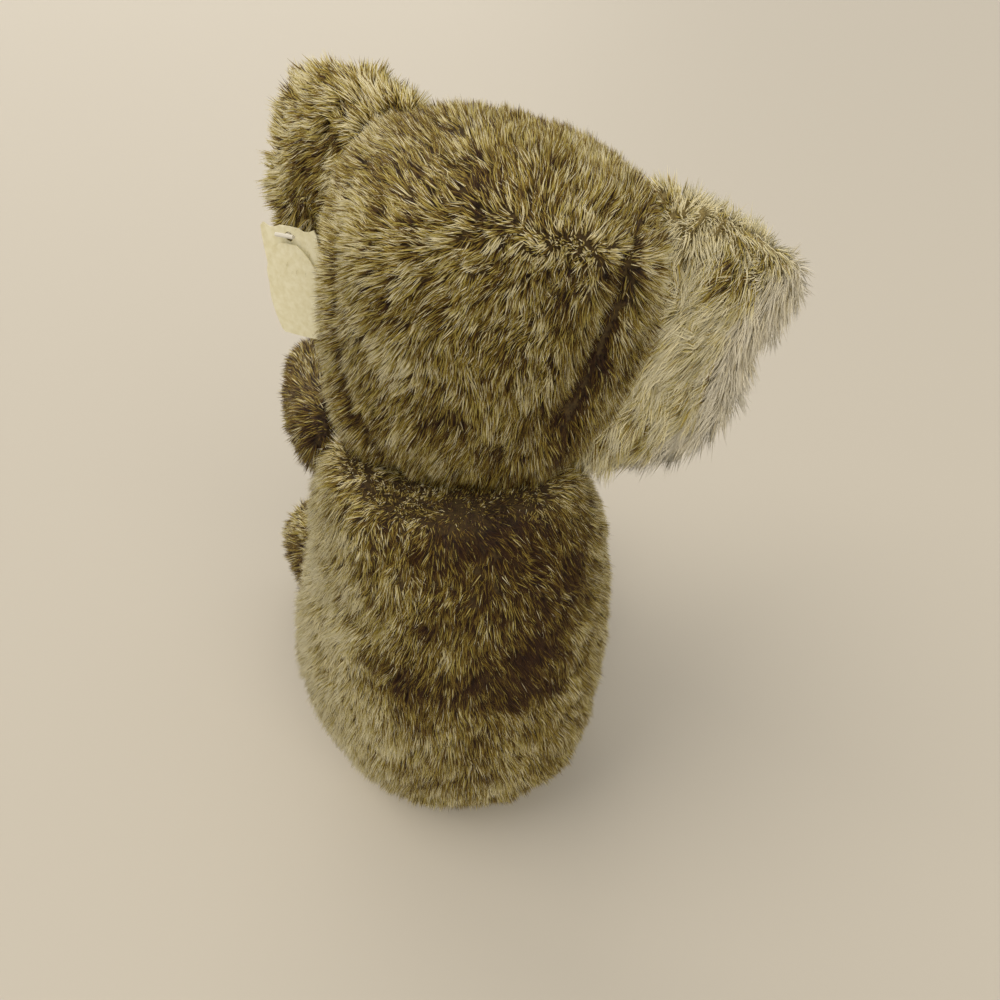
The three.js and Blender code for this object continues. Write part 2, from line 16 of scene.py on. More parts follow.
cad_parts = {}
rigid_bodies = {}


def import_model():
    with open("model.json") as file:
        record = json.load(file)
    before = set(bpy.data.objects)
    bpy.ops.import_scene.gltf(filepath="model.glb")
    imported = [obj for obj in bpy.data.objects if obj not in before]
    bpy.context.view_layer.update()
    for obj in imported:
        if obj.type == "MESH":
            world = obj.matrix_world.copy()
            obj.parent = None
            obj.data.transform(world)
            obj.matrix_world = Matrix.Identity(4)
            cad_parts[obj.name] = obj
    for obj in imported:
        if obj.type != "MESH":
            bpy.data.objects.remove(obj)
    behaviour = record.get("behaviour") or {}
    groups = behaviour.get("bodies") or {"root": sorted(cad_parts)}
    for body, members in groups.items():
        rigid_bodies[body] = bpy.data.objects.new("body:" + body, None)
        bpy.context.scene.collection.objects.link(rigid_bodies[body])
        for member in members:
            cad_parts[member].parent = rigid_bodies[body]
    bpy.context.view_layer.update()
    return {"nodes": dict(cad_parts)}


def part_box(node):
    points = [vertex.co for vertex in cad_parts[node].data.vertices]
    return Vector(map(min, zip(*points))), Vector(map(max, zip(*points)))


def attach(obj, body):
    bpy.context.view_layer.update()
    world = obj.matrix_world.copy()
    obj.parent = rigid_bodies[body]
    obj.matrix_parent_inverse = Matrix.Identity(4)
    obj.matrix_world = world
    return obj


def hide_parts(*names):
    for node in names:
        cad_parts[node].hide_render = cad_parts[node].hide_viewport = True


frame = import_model()
nodes = frame["nodes"]
MM = 0.001

# %% [markdown]
# ## Camera, table and light
# The toy was looked down on from behind, close up, with a wide lens. The place and angle come from matching
# the solids' outlines to that view. Behind a sensor 36 mm wide, the lens sees 70 degrees.


# %% Colours and selection
def colour(code):
    """A hex sRGB colour as the linear values that Blender's sockets take."""
    channels = [int(code[i : i + 2], 16) / 255 for i in (1, 3, 5)]
    linear = [c / 12.92 if c <= 0.04045 else ((c + 0.055) / 1.055) ** 2.4 for c in channels]
    return (*linear, 1.0)


def select_only(*objects):
    """Operators act on all that is selected, so this leaves just these objects selected."""
    bpy.ops.object.select_all(action="DESELECT")
    for item in objects:
        item.select_set(True)
    bpy.context.view_layer.objects.active = objects[0]


# %% Camera
bpy.ops.object.camera_add(location=(0.050, 0.228, 0.318), rotation=(math.radians(53), 0, math.radians(163.5)))
camera = bpy.context.active_object
camera.data.sensor_width = 36
camera.data.lens = 25.92
bpy.context.scene.camera = camera
bpy.context.scene.view_settings.view_transform = "Standard"
print("camera lens", camera.data.lens)

# %% [markdown]
# Each finish is a small node tree. One helper adds a node, sets its inputs and links it, so that a material
# reads like a list. Numbers that are the same all over go straight onto the shader's own sockets.


# %% Materials from nodes
def material_named(name):
    """A new material with its node tree and shader."""
    material = bpy.data.materials.new(name)
    material.use_nodes = True
    return material, material.node_tree, material.node_tree.nodes["Principled BSDF"]


def add(tree, kind, inputs=(), **settings):
    """Adds one node. An input is a value, or another node's output socket, which is then linked."""
    node = tree.nodes.new(kind)
    for key, value in settings.items():
        setattr(node, key, value)
    for key, value in dict(inputs).items():
        if isinstance(value, bpy.types.NodeSocket):
            tree.links.new(value, node.inputs[key])
        else:
            node.inputs[key].default_value = value
    return node


def ramp(tree, factor, stops):
    """A colour ramp with (place, hex colour) stops, driven by a factor."""
    node = add(tree, "ShaderNodeValToRGB", {"Fac": factor})
    points = node.color_ramp.elements
    while len(points) < len(stops):
        points.new(0.5)
    for point, (place, code) in zip(points, stops):
        point.position = place
        point.color = colour(code)
    return node.outputs["Color"]


# %% [markdown]
# A plain pale table and soft daylight from high on the camera's left keep the pile's own colours readable.
# The window's sun is made 45 degrees wide, so the shadow has no edge. Two wider ones stand for the light
# off the walls, from behind the camera and from the far side. The camera sees the far room as a plain pale
# tone, which lights nothing. Matt melamine keeps the table free of reflections.

# %% Table and light
bpy.ops.mesh.primitive_plane_add(size=40, location=(0, 0, 0))
table = bpy.context.active_object
table.name = "table"
paint, tree, shader = material_named("matt_white_melamine")
shader.inputs["Base Color"].default_value = colour("#c9c4ba")
shader.inputs["Roughness"].default_value = 0.6
table.data.materials.append(paint)

lamps = (
    ("window", (0.7, -0.1, 1.0), 45, 1.2),
    ("room", (0.0, 1.0, 0.7), 60, 1.35),
    ("hall", (0.1, -1.0, 0.5), 60, 0.9),
)
for name, towards, angle, strength in lamps:
    bpy.ops.object.light_add(type="SUN", location=towards)
    lamp = bpy.context.active_object
    lamp.name = name
    lamp.data.angle = math.radians(angle)
    lamp.data.energy = strength
    lamp.data.color = colour("#fff4e2")[:3]
    lamp.rotation_euler = Vector(towards).to_track_quat("Z", "Y").to_euler()

world = bpy.data.worlds.new("room")
bpy.context.scene.world = world
world.use_nodes = True
tree = world.node_tree
sky = tree.nodes["Background"]
sky.inputs["Color"].default_value = colour("#efece6")
sky.inputs["Strength"].default_value = 0.45
seen = add(tree, "ShaderNodeBackground", {"Color": colour("#c6bfb2"), "Strength": 1.0})
is_seen = add(tree, "ShaderNodeLightPath").outputs["Is Camera Ray"]
choice = add(tree, "ShaderNodeMixShader", {0: is_seen, 1: sky.outputs[0], 2: seen.outputs[0]})
tree.links.new(choice.outputs[0], tree.nodes["World Output"].inputs["Surface"])

# %% [markdown]
# ## The turned head's own frame
# The head is turned 28 degrees to the toy's right and tilted 14, with the left ear up. Each ear stands a
# little forward of straight out and leans outwards by 14 degrees. The pile is combed in those pieces' own
# directions, so their frames are written down once, from the same sizes as the solids.

# %% Frames of the head and ears
head_frame = Matrix.Translation((0, -5 * MM, 166 * MM)) @ (
    Matrix.Rotation(math.radians(-14), 4, "Y") @ Matrix.Rotation(math.radians(-28), 4, "Z")
)
HEAD_MIDDLE = 56.5
ear_frames = {}
for side, sign, forward, lift in (("left", 1, 30, 12), ("right", -1, 12, 5)):
    root = Matrix.Translation((sign * 42 * MM, -3 * MM, (HEAD_MIDDLE + lift) * MM))
    turn = Matrix.Rotation(math.radians(-sign * forward), 4, "Z")
    lean = Matrix.Rotation(math.radians(sign * 14), 4, "Y")
    ear_frames[side] = head_frame @ root @ turn @ lean
print("ear roots", {side: [round(c / MM) for c in f.translation] for side, f in ear_frames.items()})

# %% [markdown]
# ## Backing cloth
# Under the pile is a knitted backing, stretched over the filling. Each skin is made from the solids of its
# piece: they are joined, remeshed into one closed surface, smoothed, and drawn in a little, because the
# solids' surface stands for the middle of the pile.

# %% Skins from the solids
stands_for = {
    "body": ["seat_panel", "belly_panel", "back_panel_left", "back_panel_right", "body_filling"],
    "head": [
        "head_back_panel",
        "head_side_panel_left",
        "head_side_panel_right",
        "face_panel",
        "head_filling",
        "muzzle_cover",
    ],
}
for side in ("left", "right"):
    stands_for["ear_" + side] = ["ear_" + side + "_back", "ear_" + side + "_front"]
    for limb in ("arm_", "leg_"):
        stands_for[limb + side] = [limb + side, limb + side + "_filling"]


def skin_from(name, members, voxel, sink, smoothing):
    """A closed, smooth copy of some solids as one mesh, drawn in by sink millimetres."""
    select_only(*[nodes[m] for m in members])
    bpy.ops.object.duplicate()
    if len(members) > 1:
        bpy.ops.object.join()
    skin = bpy.context.active_object
    bpy.ops.object.parent_clear(type="CLEAR_KEEP_TRANSFORM")
    for key in [k for k in skin.keys() if k.startswith("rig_")]:
        del skin[key]
    skin.name = skin.data.name = name
    skin.data.materials.clear()
    bpy.ops.object.mode_set(mode="EDIT")
    bpy.ops.mesh.select_all(action="SELECT")
    bpy.ops.mesh.remove_doubles(threshold=0.01 * MM)
    bpy.ops.object.mode_set(mode="OBJECT")
    steps = [("REMESH", {"mode": "VOXEL", "voxel_size": voxel * MM})]
    steps += [("SMOOTH", {"factor": 0.5, "iterations": smoothing})]
    steps += [("DISPLACE", {"strength": -sink * MM, "mid_level": 0.0})] if sink else []
    for kind, settings in steps:
        modifier = skin.modifiers.new(kind.title(), kind)
        for key, value in settings.items():
            setattr(modifier, key, value)
        bpy.ops.object.modifier_apply(modifier=modifier.name)
    bpy.ops.object.shade_smooth()
    return skin


# The voxel size and how far the skin is drawn in, in millimetres, and its rounds of smoothing.
SKIN_MAKING = {"body": (4, 0.3, 8), "head": (3, 0.3, 6), "ear": (2, 0.5, 3)}
SKIN_MAKING["arm"] = SKIN_MAKING["leg"] = (2, 1.0, 6)
skins = {}
for body, members in stands_for.items():
    skins[body] = skin_from(body + "_backing", members, *SKIN_MAKING[body.split("_")[0]])
print({name: len(skin.data.polygons) for name, skin in skins.items()})

# %% [markdown]
# Knitted acrylic backing is dull, and its fine loops, about 1 mm apart, only show where the pile parts. It
# is brown under the brown pile, and straw under the pale pile and all over the right ear, where the paler
# backing is partly painted light through and around the ear.

# %% Backing finishes
def backing_finish(name, dark, light):
    """Dull knitted cloth whose loops run from dark to light."""
    material, tree, shader = material_named(name)
    place = add(tree, "ShaderNodeTexCoord").outputs["Object"]
    loops = add(tree, "ShaderNodeTexNoise", {"Vector": place, "Scale": 0.9 / MM, "Detail": 3.0}).outputs["Fac"]
    tree.links.new(ramp(tree, loops, [(0.3, dark), (0.7, light)]), shader.inputs["Base Color"])
    bump = add(tree, "ShaderNodeBump", {"Height": loops, "Strength": 0.4, "Distance": 0.3 * MM})
    tree.links.new(bump.outputs["Normal"], shader.inputs["Normal"])
    shader.inputs["Roughness"].default_value = 0.95
    return material


brown_backing = backing_finish("knitted_acrylic_backing", "#2c210e", "#503f1f")
straw_backing = backing_finish("knitted_straw_backing", "#8d7d52", "#b7a877")


def straw_where(skin, is_straw):
    """Gives straw backing to the faces that is_straw picks by their middles and normals."""
    faces = skin.data.polygons
    middles, ups = np.empty(len(faces) * 3), np.empty(len(faces) * 3)
    faces.foreach_get("center", middles)
    faces.foreach_get("normal", ups)
    picked = is_straw(middles.reshape(-1, 3), ups.reshape(-1, 3))
    faces.foreach_set("material_index", picked.astype(np.int32))


SIDE_SEAM = -14  # where the back's pile ends and the belly's begins, along y in millimetres
for body, skin in skins.items():
    skin.data.materials.append(brown_backing)
    skin.data.materials.append(straw_backing)
    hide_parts(*stands_for[body])
    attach(skin, body)
straw_where(skins["body"], lambda at, up: at[:, 1] < SIDE_SEAM * MM)
straw_where(skins["ear_left"], lambda at, up: up[:, 1] < -0.2)
# The right ear's straw backing is partly painted light through and around the ear.
straw_where(skins["ear_right"], lambda at, up: np.full(len(at), True))
print("backing on", len(skins), "skins")

# %% [markdown]
# ## Growing the pile
# Long pile is cut acrylic fibre that stands in small tufts, leans the way it was brushed, and is darker at
# the root than at the tip. Each strand here is a slender closed spike, with three corners under the backing
# and a point at the tip. A strand of two steps has its corners halfway instead, and a point at each end, so
# that it bends once. Real fibres are thinner than a pixel, so each strand stands for a few of them. Tuft
# centres give neighbouring strands a common lean, length and shade.


# %% Smooth wobble and places on a skin
def unit(vectors):
    """The vectors at length 1."""
    return vectors / np.maximum(np.linalg.norm(vectors, axis=1, keepdims=True), 1e-9)


def wobble(points, size, seed):
    """Smooth values from -1 to 1 that vary over about size millimetres."""
    rng = np.random.default_rng(seed)
    total = np.zeros(len(points))
    for _ in range(8):
        direction = rng.normal(size=3)
        pace = 2 * math.pi / (size * MM * rng.uniform(0.6, 1.6) * np.linalg.norm(direction))
        total += np.sin(points @ direction * pace + rng.uniform(0, 6.3))
    return np.clip(total / 2.8, -1, 1)


def roots_on(skin, per_mm2, seed, within):
    """Evenly spread random places on the part of a skin that lies within, and its smooth normals there."""
    rng = np.random.default_rng(seed)
    mesh = skin.data
    mesh.calc_loop_triangles()
    places, normals = np.empty(len(mesh.vertices) * 3), np.empty(len(mesh.vertices) * 3)
    corners = np.empty(len(mesh.loop_triangles) * 3, np.int32)
    mesh.vertices.foreach_get("co", places)
    mesh.vertices.foreach_get("normal", normals)
    mesh.loop_triangles.foreach_get("vertices", corners)
    places, normals, corners = places.reshape(-1, 3), normals.reshape(-1, 3), corners.reshape(-1, 3)
    a, b, c = (places[corners[:, i]] for i in range(3))
    area = np.linalg.norm(np.cross(b - a, c - a), axis=1) / 2 / MM**2
    count = np.floor(area * per_mm2 + rng.random(len(area))).astype(int)
    picked = corners[np.repeat(np.arange(len(count)), count)]
    u, v = rng.random(len(picked)), rng.random(len(picked))
    over = u + v > 1
    u[over], v[over] = 1 - u[over], 1 - v[over]
    weights = np.stack([1 - u - v, u, v], axis=1)[:, :, None]
    found, ups = (places[picked] * weights).sum(axis=1), unit((normals[picked] * weights).sum(axis=1))
    kept = within(found)
    return found[kept], ups[kept]


# %% Strands
def paths(places, ups, lays, lengths, lift, steps):
    """Points along each strand: it stands up from the skin, bends over along its lay, and sags a little."""
    along = np.linspace(0, 1, steps + 1)[None, :, None]
    rise, run = np.sin(lift)[:, None, None], np.cos(lift)[:, None, None]
    sag = np.array([0, 0, -0.12])
    shape = ups[:, None] * rise * along + lays[:, None] * run * along**1.6 + sag * along**2
    return places[:, None, :] + shape * lengths[:, None, None]


def strand_mesh(name, spines, sides, widths, ups, tones, bare):
    """One mesh of closed strands along their spines, with their shade and place along them as attributes."""
    count, steps = spines.shape[0], spines.shape[1] - 1
    axes = unit(spines[:, -1] - spines[:, 0])
    sides = unit(sides - axes * (sides * axes).sum(axis=1, keepdims=True))
    tops = np.cross(axes, sides)
    corners = np.stack([-sides - tops * 0.3, sides - tops * 0.3, tops * 0.7], axis=1)
    ring = spines[:, steps - 1, None] + corners * (widths / 2)[:, None, None]
    tips = [(k + steps - 1, (k + 1) % 3 + steps - 1, steps + 2) for k in range(3)]
    if steps == 1:
        vertices, faces = np.concatenate([ring, spines[:, -1:]], axis=1), [(0, 2, 1)] + tips
        along, facing = np.array([0.0, 0.0, 0.0, 1.0]), np.concatenate([corners, axes[:, None]], axis=1)
    else:
        vertices = np.concatenate([spines[:, :1], ring, spines[:, -1:]], axis=1)
        faces = [(0, (k + 1) % 3 + 1, k + 1) for k in range(3)] + tips
        along = np.array([0.0, 0.5, 0.5, 0.5, 1.0])
        facing = np.concatenate([-axes[:, None], corners, axes[:, None]], axis=1)
    last = steps + 2
    triangles = (np.array(faces)[None] + (np.arange(count) * (last + 1))[:, None, None]).reshape(-1, 3)
    shading = unit((ups[:, None] * (1.1 - bare) + facing * bare).reshape(-1, 3))
    mesh = bpy.data.meshes.new(name)
    mesh.vertices.add(count * (last + 1))
    mesh.vertices.foreach_set("co", vertices.astype(np.float32).ravel())
    mesh.loops.add(triangles.size)
    mesh.loops.foreach_set("vertex_index", triangles.astype(np.int32).ravel())
    mesh.polygons.add(len(triangles))
    mesh.polygons.foreach_set("loop_start", np.arange(0, triangles.size, 3, dtype=np.int32))
    mesh.polygons.foreach_set("loop_total", np.full(len(triangles), 3, dtype=np.int32))
    mesh.polygons.foreach_set("use_smooth", np.ones(len(triangles), dtype=bool))
    mesh.update()
    tone = np.repeat(tones, last + 1).astype(np.float32)
    tip = np.tile(along, count).astype(np.float32)
    for key, values in (("tone", tone), ("along", tip)):
        mesh.attributes.new(key, "FLOAT", "POINT").data.foreach_set("value", values)
    chart = mesh.uv_layers.new(name="OFBake")
    flat = np.stack([tone, tip], axis=1)[triangles.ravel()]
    chart.data.foreach_set("uv", np.clip(flat, 0.004, 0.996).astype(np.float32).ravel())
    mesh.normals_split_custom_set_from_vertices(shading.astype(np.float32))
    return mesh


# %% [markdown]
# A patch of pile is described by its skin and by a few functions of a place on it: which way it lies, how
# long it is in millimetres and what shade it has. Shades run from 0, dark brown, to 1, the palest. The lift
# is how steeply it stands, in degrees. The habit says how wide the strands are, how far apart the tufts
# are, how strongly strands draw into them, how many steps a strand has, how much lays and shades differ,
# and how far a strand is shaded by its own sides rather than by the skin.

# %% A patch of pile
HABIT = {"width": 0.56, "tuft": 2.4, "draw": 0.2, "steps": 1, "mess": 0.5, "fleck": 0.36, "bare": 0.85}


def grow(name, body, slot, finish, seed, per_mm2, within, lay, length, shade, lift=44, **habit):
    """Grows a patch of pile on a body's skin and lets it ride there."""
    h = {**HABIT, **habit}
    rng = np.random.default_rng(seed)
    density = per_mm2 * 1.0
    places, ups = roots_on(skins[body], density, seed, within)
    count = len(places)
    tufts = rng.choice(count, max(8, int(count / (density * h["tuft"] ** 2))), replace=False)
    tree = kdtree.KDTree(len(tufts))
    for i, t in enumerate(tufts):
        tree.insert(places[t], i)
    tree.balance()
    nearest = np.array([tree.find(p)[1] for p in places])

    def flow(at, up, spread):
        """The lay at each place, kept along the skin and turned by slow wobbles and by chance."""
        way = lay(at, up)
        way = way + rng.normal(0, 0.12, way.shape)
        way = way - up * (way * up).sum(axis=1, keepdims=True)
        way = unit(way) * np.clip(np.linalg.norm(way, axis=1, keepdims=True), 0.6, 1.5)
        turn = 0.5 * wobble(at, 30, 101) + 0.45 * wobble(at, 12, 102) + rng.normal(0, spread, len(at))
        return way * np.cos(turn)[:, None] + np.cross(up, way) * np.sin(turn)[:, None]

    home, home_up = places[tufts], ups[tufts]
    steep = lift(home) if callable(lift) else lift
    steepness = np.radians(steep + 9 * wobble(home, 13, 103) + rng.normal(0, 9, len(tufts)))
    scale = rng.uniform(0.88, 1.1, len(tufts))
    tuft_lay = flow(home, home_up, h["mess"])
    tuft_path = paths(home, home_up, tuft_lay, length(home) * MM * scale, steepness, h["steps"])
    tuft_tone = rng.normal(0, 0.15, len(tufts))

    lays = flow(places, ups, 0.45) * 0.55 + tuft_lay[nearest] * 0.45
    lifts = steepness[nearest] + np.radians(rng.normal(0, 9, count))
    lengths = length(places) * MM * scale[nearest] * rng.uniform(0.62, 1.12, count)
    lengths *= np.where(rng.random(count) < 0.03, 1.2, 1.0)
    spines = paths(places - ups * 1.0 * MM, ups, lays, lengths, lifts, h["steps"])
    pull = (h["draw"] * np.linspace(0, 1, h["steps"] + 1) ** 1.3)[None, :, None]
    spines = spines * (1 - pull) + tuft_path[nearest] * pull
    spines[:, :, 2] = np.maximum(spines[:, :, 2], 0.3 * MM + 0.6 * MM * rng.random((count, 1)))
    sides = np.cross(lays + rng.normal(0, 0.25, lays.shape), ups) + ups * rng.normal(0, 0.4, (count, 1))
    widths = h["width"] * MM * rng.uniform(0.7, 1.3, count) * 1.0
    tones = np.clip(shade(places) + tuft_tone[nearest] + rng.normal(0, h["fleck"], count), 0.01, 0.99)
    mesh = strand_mesh(name, spines, sides, widths, ups, tones, h["bare"])
    pile = bpy.data.objects.new(name, mesh)
    bpy.context.scene.collection.objects.link(pile)
    mesh.materials.append(finish)
    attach(pile, body)
    print(name, count, "strands", len(mesh.polygons), "triangles")
    return pile


# %% [markdown]
# Modacrylic pile is dyed in the fibre, and each strand goes from dark brown at its root to a straw tip:
# partly the fibre's own tip-faded colour, partly painted shade deep in the pile, where the roots lie. It has
# a soft sheen with a broad highlight: a refractive index near 1.52 and middling roughness.


# %% Pile finishes
def pile_finish(name, root, middle, tip):
    """A finish whose colour runs along each strand, from (shade, hex) stops for root, middle and tip."""
    material, tree, shader = material_named(name)
    tone = add(tree, "ShaderNodeAttribute", attribute_name="tone").outputs["Fac"]
    along = add(tree, "ShaderNodeAttribute", attribute_name="along").outputs["Fac"]
    mixed = ramp(tree, tone, root)
    for stops, start, end in ((middle, 0.1, 0.5), (tip, 0.5, 0.95)):
        share = add(tree, "ShaderNodeMapRange", {"Value": along, "From Min": start, "From Max": end})
        mix = add(tree, "ShaderNodeMix", {0: share.outputs["Result"]}, data_type="RGBA")
        tree.links.new(mixed, mix.inputs[6])
        tree.links.new(ramp(tree, tone, stops), mix.inputs[7])
        mixed = mix.outputs[2]
    tree.links.new(mixed, shader.inputs["Base Color"])
    shader.inputs["Roughness"].default_value = 0.45
    shader.inputs["IOR"].default_value = 1.52
    shader.inputs["Specular IOR Level"].default_value = 0.3
    return material


# The dark root stops are partly painted shade deep in the pile.
brown_pile = pile_finish(
    "dyed_modacrylic_pile",
    [(0.0, "#130904"), (0.5, "#2a1b09"), (1.0, "#b0a06c")],
    [(0.0, "#2a1409"), (0.25, "#563c17"), (0.5, "#876f27"), (0.75, "#b5a54f"), (1.0, "#efe5ba")],
    [(0.0, "#472a13"), (0.25, "#886c26"), (0.5, "#bda646"), (0.75, "#ddd07a"), (1.0, "#fbf6dc")],
)
cream_pile = pile_finish(
    "bleached_modacrylic_pile",
    [(0.0, "#75674a"), (0.5, "#b3a687"), (1.0, "#dcd2b8")],
    [(0.0, "#a99b72"), (0.5, "#d8ceac"), (1.0, "#f4edd8")],
    [(0.0, "#c9bc91"), (0.5, "#ebe3c8"), (1.0, "#fdf8e8")],
)
print("pile finishes ready")

# %% [markdown]
# ## Settled filling
# The solids are even, but a toy that has been held a lot has slumped. Soft steps and spots of a place's own
# coordinates move the skins, and later shade the pile.


# %% Soft steps and spots
def smooth(value, low, high):
    """0 below low, 1 above high, and a soft step between."""
    t = np.clip((value - low) / (high - low), 0, 1)
    return t * t * (3 - 2 * t)


def spot(at, middle, radius):
    """1 at a place in millimetres, falling smoothly to 0 at a radius round it."""
    away = np.linalg.norm(at - np.array(middle) * MM, axis=1)
    return 1 - smooth(away, 0, radius * MM)


def patches(at, places):
    """The sum of soft round patches, each a place in millimetres, a radius and a step in shade."""
    return sum(step * spot(at, middle, radius) for middle, radius, step in places)


def blotches(at, size, seed):
    """1 in scattered darker blotches of about the given size, and 0 between them."""
    return smooth(wobble(at, size, seed), 0.2, 0.65)


# %% Shape the skins
def reshape(skin, change):
    """Moves a skin's points, to where change puts them, given their places and normals."""
    places, ups = np.empty(len(skin.data.vertices) * 3), np.empty(len(skin.data.vertices) * 3)
    skin.data.vertices.foreach_get("co", places)
    skin.data.vertices.foreach_get("normal", ups)
    moved = change(places.reshape(-1, 3), ups.reshape(-1, 3))
    print(skin.name, "moved by up to", round(np.abs(moved.ravel() - places).max() / MM, 1), "mm")
    skin.data.vertices.foreach_set("co", moved.ravel())
    skin.data.update()


def slumped_body(at, up):
    """Square at the left shoulder, and slimmer on the right, where the filling has settled away."""
    height = at[:, 2] / MM
    higher = spot(at, (46, -2, 152), 40)[:, None] * np.array([-1, 0, 11])
    slimmer = 5.5 * smooth(-at[:, 0], 25 * MM, 62 * MM) * smooth(height, 4, 24)
    left = smooth(at[:, 0], 30 * MM, 66 * MM)
    fuller = left * np.interp(height, [20, 55, 85, 105, 125, 145, 165], [0, 3, 3, -1, -6, -6, -1])
    return at + (higher - up * slimmer[:, None]) * MM + fuller[:, None] * np.array([MM, 0, 0])


def tucked_arm(at, up):
    """Held close, raised towards the paw, and tucked in where it is sewn to the shoulder."""
    rear = smooth(at[:, 1], -80 * MM, -20 * MM)
    front = smooth(-at[:, 1], 60 * MM, 100 * MM)
    inwards = -np.sign(at[:, 0]) * (0.5 + 6 * rear)
    moved = at + np.stack([inwards, 0 * rear, 5 * rear + 6 * front], axis=1) * MM
    return moved - up * (3 * rear * MM)[:, None]


def raised_leg(at, up):
    """The thigh is round and full on top."""
    high = smooth(at[:, 2], 26 * MM, 60 * MM) * (1 - smooth(-at[:, 1], 84 * MM, 134 * MM))
    thigh = 1 - smooth(-at[:, 1], 60 * MM, 100 * MM)
    wider = np.sign(at[:, 0]) * 4 * thigh * smooth(at[:, 2], 10 * MM, 40 * MM)
    return at + np.stack([wider, 0 * high, 18 * high], axis=1) * MM


reshape(skins["body"], slumped_body)
for side in ("left", "right"):
    reshape(skins["arm_" + side], tucked_arm)
    reshape(skins["leg_" + side], raised_leg)

# %% [markdown]
# ## Body pile
# The back is brushed down and a little away from the parting in its middle. Painted shade darkens the pile
# under the neck, a darker patch lies on the right of the back, and the sides fade to straw, partly by
# painted light. The belly is cream. Near the neck, where the head presses on it, the pile lies flatter.


# %% Body pile
def back_parting(at):
    """The parting's distance to the left of the middle, in metres: a little more low down."""
    return (8 + 6 * (1 - smooth(at[:, 2], 60 * MM, 110 * MM))) * MM


def body_lay(at, up):
    """Down and back, away from the back's parting, and outwards low down so that it lies on the table."""
    low = 1 - smooth(at[:, 2], 6 * MM, 26 * MM)
    aside = np.tanh((at[:, 0] - back_parting(at)) / (14 * MM)) * 0.4
    aside = aside * (1 - 0.8 * smooth(at[:, 2], 0.12, 0.15))
    way = np.stack([aside, np.full(len(at), 0.6), -np.ones(len(at))], axis=1)
    return way * (1 - low)[:, None] + unit(at * np.array([1, 1, 0])) * low[:, None] * 1.2


def body_length(at):
    parting = np.exp(-(((at[:, 0] - back_parting(at)) / (3 * MM)) ** 2)) * (at[:, 1] > 0)
    return (6.4 + 2 * spot(at, (46, -2, 158), 36) + 0.8 * wobble(at, 18, 7)) * (1 - 0.15 * parting)


def body_lift(at):
    """A little flatter near the neck, where the head presses on the pile."""
    return 46 - 8 * smooth(at[:, 2], 128 * MM, 152 * MM)


# Spots of darker and lighter pile: the back's own dark patch, and painted shade under the neck, where the head
# sits.
BACK_TONE_AND_PAINTED_SHADE_SPOTS = (
    ((-17, 52, 145), 38, -0.52),
    ((-5, 65, 108), 33, -0.66),
    ((34, 55, 104), 30, -0.5),
    ((22, 60, 138), 16, -0.35),
    ((4, 40, 164), 34, -0.4),
    ((34, 34, 162), 14, -0.25),
    ((12, 64, 122), 18, 0.12),
    ((30, 58, 49), 24, 0.1),
)


def body_shade(at):
    """Painted shade under the neck and a dark patch on the right of the back; paler sides, partly straw pile
    and partly painted light along the edges.
    """
    base = 0.46 + 0.1 * wobble(at, 34, 5) + 0.1 * wobble(at, 12, 6) - 0.1 * blotches(at, 14, 9)
    # Paler sides: partly straw pile, partly painted light along the edges.
    base += 0.56 * smooth(at[:, 0], 30 * MM, 60 * MM) + 0.4 * smooth(-at[:, 0], 36 * MM, 60 * MM)
    return base + patches(at, BACK_TONE_AND_PAINTED_SHADE_SPOTS) + 0.12 * (1 - smooth(at[:, 2], 24 * MM, 60 * MM))


def on_back(at):
    """Behind the side seams, which wander a little under the pile."""
    return (at[:, 1] > (SIDE_SEAM + 4 * wobble(at, 24, 15)) * MM) & (at[:, 2] > 3 * MM)


back = (body_lay, body_length, body_shade, body_lift)
for side, sign in (("left", 1), ("right", -1)):
    for part, low, high in (("upper", 92, 400), ("lower", -10, 92)):
        name = "back_pile_" + side + "_" + part
        seed = 11 + sign + low

        def within(at):
            return on_back(at) & (at[:, 0] * sign > 0) & (at[:, 2] > low * MM) & (at[:, 2] <= high * MM)

        grow(name, "body", "back_pile", brown_pile, seed, 3.3, within, *back)


# %% Belly pile
def belly_shade(at):
    """Cream, a little cloudy."""
    return 0.55 + 0.2 * wobble(at, 22, 8)


def on_belly(at):
    return ~on_back(at) & (at[:, 2] > 3 * MM)


belly = (body_lay, body_length, belly_shade)
grow("belly_pile", "body", "pale_pile", cream_pile, 14, 1.5, on_belly, *belly, width=1.0)

# %% [markdown]
# ## Head pile
# The pile swirls out from a soft whorl high on the back of the head: over the top towards the face, and
# down to the neck. It lies away from the seams beside the shield-shaped back panel, which are drawn in as
# grooves, with painted shade darkening the pile in them. On the face it lies away from the nose and is
# shorter.

# %% Places on the head
head_inverse = np.array(head_frame.inverted())
head_axes = np.array(head_frame)[:3, :3]
nose_low, nose_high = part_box("nose")
nose_tip = np.array((nose_low + nose_high) / 2)
muzzle_middle = np.array(head_frame @ Vector((0, -36 * MM, 39.5 * MM)))
whorl = np.array([-3, 40, 259]) * MM
across = np.array([-0.96, 0.28, 0])
over = np.array([-0.17, -0.58, 0.8])
PANEL_TOP, PANEL_TALL, PANEL_HALF_WIDTH = HEAD_MIDDLE + 12, 74.5, 42
PANEL_NARROWING = ([0, 0.22, 0.42, 0.57, 0.76, 1.0], [1, 0.97, 0.9, 0.7, 0.42, 0.0])
NECK_TOP, FACE_EDGE, MUZZLE_RADIUS = 169, -16, 30


def in_head(at):
    """Places in the head's own frame, in millimetres."""
    return (at @ head_inverse[:3, :3].T + head_inverse[:3, 3]) / MM


def past_seam(at):
    """Distance in millimetres from the edge of the shield-shaped back panel, positive outside it."""
    local = in_head(at)
    drops = (PANEL_TOP - local[:, 2]) / PANEL_TALL
    return np.abs(local[:, 0]) - PANEL_HALF_WIDTH * np.interp(drops, *PANEL_NARROWING)


